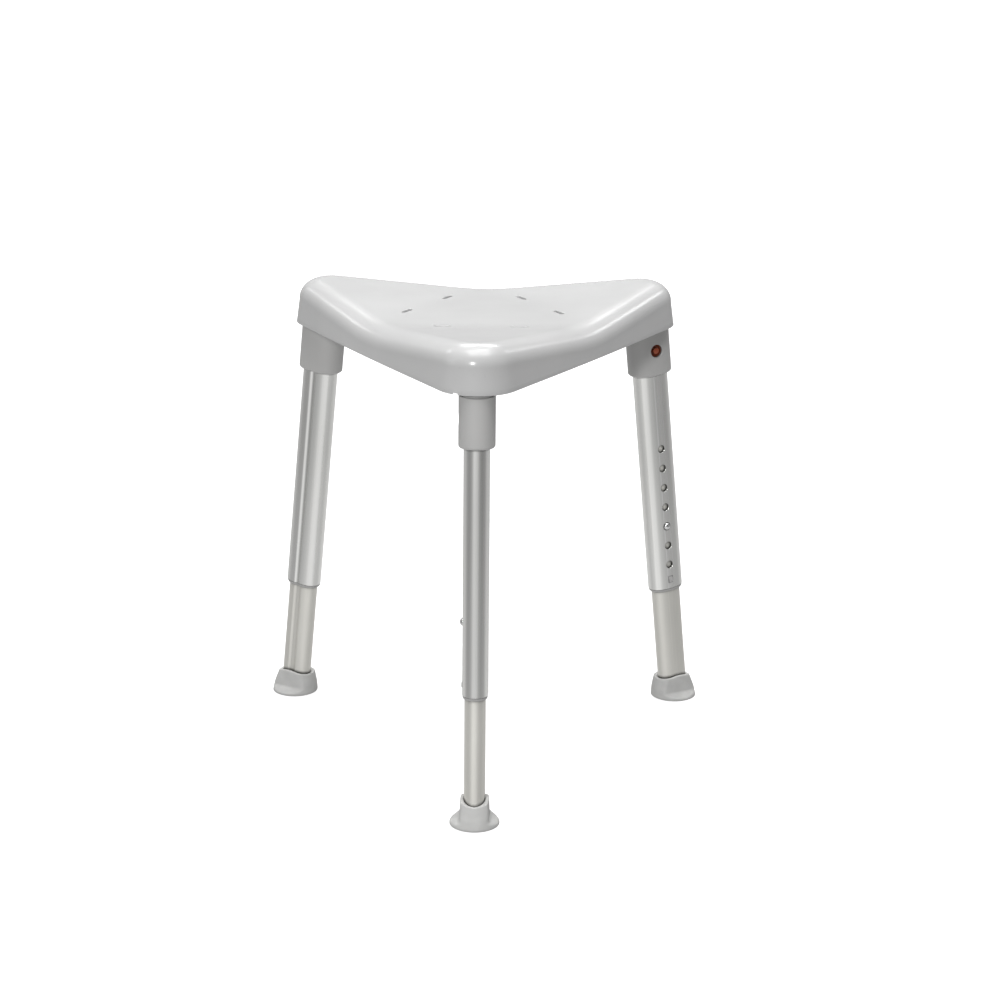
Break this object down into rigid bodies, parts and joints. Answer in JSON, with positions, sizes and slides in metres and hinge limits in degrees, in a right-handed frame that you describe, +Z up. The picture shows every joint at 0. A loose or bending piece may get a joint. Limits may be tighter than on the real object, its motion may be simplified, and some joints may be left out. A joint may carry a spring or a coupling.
{
  "type": "shower stool",
  "caption": "Shower stool: a rounded triangular moulded seat with drain slots on splayed telescopic oval legs with snap-button height adjustment and rubber feet.",
  "frame": {"origin": "on the floor, in the middle of the footprint of the three feet", "axes": "+Z up through the seat, -Y towards the front leg, +X to the right seen from the front"},
  "size_m": [0.5292, 0.4656, 0.5343],
  "materials": {
    "seat_plastic": "satin moulded plastic, off-white",
    "socket_plastic": "fine matte moulded plastic, mid grey",
    "tube_aluminium": "satin anodised, drawn lengthwise",
    "leg_aluminium": "matte bead-blasted anodised, warm grey",
    "bushing_plastic": "matte moulded plastic, grey",
    "foot_rubber": "matte rubber, light grey",
    "release_orange": "semi-gloss orange-red plastic",
    "snap_chrome": "polished",
    "spring_steel": "bright drawn spring steel",
    "screw_steel": "stainless"
  },
  "bodies": {
    "seat_frame": {"seat_shell": "seat_plastic", "front_socket": "socket_plastic", "front_screw_a": "screw_steel", "front_screw_b": "screw_steel", "front_outer_tube": "tube_aluminium", "front_end_bushing": "bushing_plastic", "front_top_carrier": "bushing_plastic", "front_release_spring": "spring_steel", "right_socket": "socket_plastic", "right_screw_a": "screw_steel", "right_screw_b": "screw_steel", "right_outer_tube": "tube_aluminium", "right_end_bushing": "bushing_plastic", "right_top_carrier": "bushing_plastic", "right_release_spring": "spring_steel", "left_socket": "socket_plastic", "left_screw_a": "screw_steel", "left_screw_b": "screw_steel", "left_outer_tube": "tube_aluminium", "left_end_bushing": "bushing_plastic", "left_top_carrier": "bushing_plastic", "left_release_spring": "spring_steel"},
    "front_leg": {"front_inner_leg": "leg_aluminium", "front_guide_plug": "bushing_plastic", "front_snap_spring": "spring_steel", "front_foot": "foot_rubber"},
    "front_snap": {"front_snap_button": "snap_chrome"},
    "front_release": {"front_release_button": "release_orange"},
    "right_leg": {"right_inner_leg": "leg_aluminium", "right_guide_plug": "bushing_plastic", "right_snap_spring": "spring_steel", "right_foot": "foot_rubber"},
    "right_snap": {"right_snap_button": "snap_chrome"},
    "right_release": {"right_release_button": "release_orange"},
    "left_leg": {"left_inner_leg": "leg_aluminium", "left_guide_plug": "bushing_plastic", "left_snap_spring": "spring_steel", "left_foot": "foot_rubber"},
    "left_snap": {"left_snap_button": "snap_chrome"},
    "left_release": {"left_release_button": "release_orange"}
  },
  "joints": [
    {"name": "front_leg_extension", "type": "slide", "parent": "seat_frame", "child": "front_leg", "axis": [0, -0.1073, -0.9942], "range_m": [-0.1, 0.05]},
    {"name": "front_snap_press", "type": "slide", "parent": "front_leg", "child": "front_snap", "axis": [1, 0, 0], "range_m": [0, 0.0047], "stiffness_N_per_m": 2500, "springref_m": -0.003, "deforming": ["front_snap_spring"]},
    {"name": "front_release_press", "type": "slide", "parent": "seat_frame", "child": "front_release", "axis": [1, 0, 0], "range_m": [0, 0.0045], "stiffness_N_per_m": 2000, "springref_m": -0.003, "deforming": ["front_release_spring"]},
    {"name": "right_leg_extension", "type": "slide", "parent": "seat_frame", "child": "right_leg", "axis": [0.0929, 0.0537, -0.9942], "range_m": [-0.1, 0.05]},
    {"name": "right_snap_press", "type": "slide", "parent": "right_leg", "child": "right_snap", "axis": [-0.5, 0.866, 0], "range_m": [0, 0.0047], "stiffness_N_per_m": 2500, "springref_m": -0.003, "deforming": ["right_snap_spring"]},
    {"name": "right_release_press", "type": "slide", "parent": "seat_frame", "child": "right_release", "axis": [-0.5, 0.866, 0], "range_m": [0, 0.0045], "stiffness_N_per_m": 2000, "springref_m": -0.003, "deforming": ["right_release_spring"]},
    {"name": "left_leg_extension", "type": "slide", "parent": "seat_frame", "child": "left_leg", "axis": [-0.0929, 0.0537, -0.9942], "range_m": [-0.1, 0.05]},
    {"name": "left_snap_press", "type": "slide", "parent": "left_leg", "child": "left_snap", "axis": [-0.5, -0.866, 0], "range_m": [0, 0.0047], "stiffness_N_per_m": 2500, "springref_m": -0.003, "deforming": ["left_snap_spring"]},
    {"name": "left_release_press", "type": "slide", "parent": "seat_frame", "child": "left_release", "axis": [-0.5, -0.866, 0], "range_m": [0, 0.0045], "stiffness_N_per_m": 2000, "springref_m": -0.003, "deforming": ["left_release_spring"]}
  ]
}
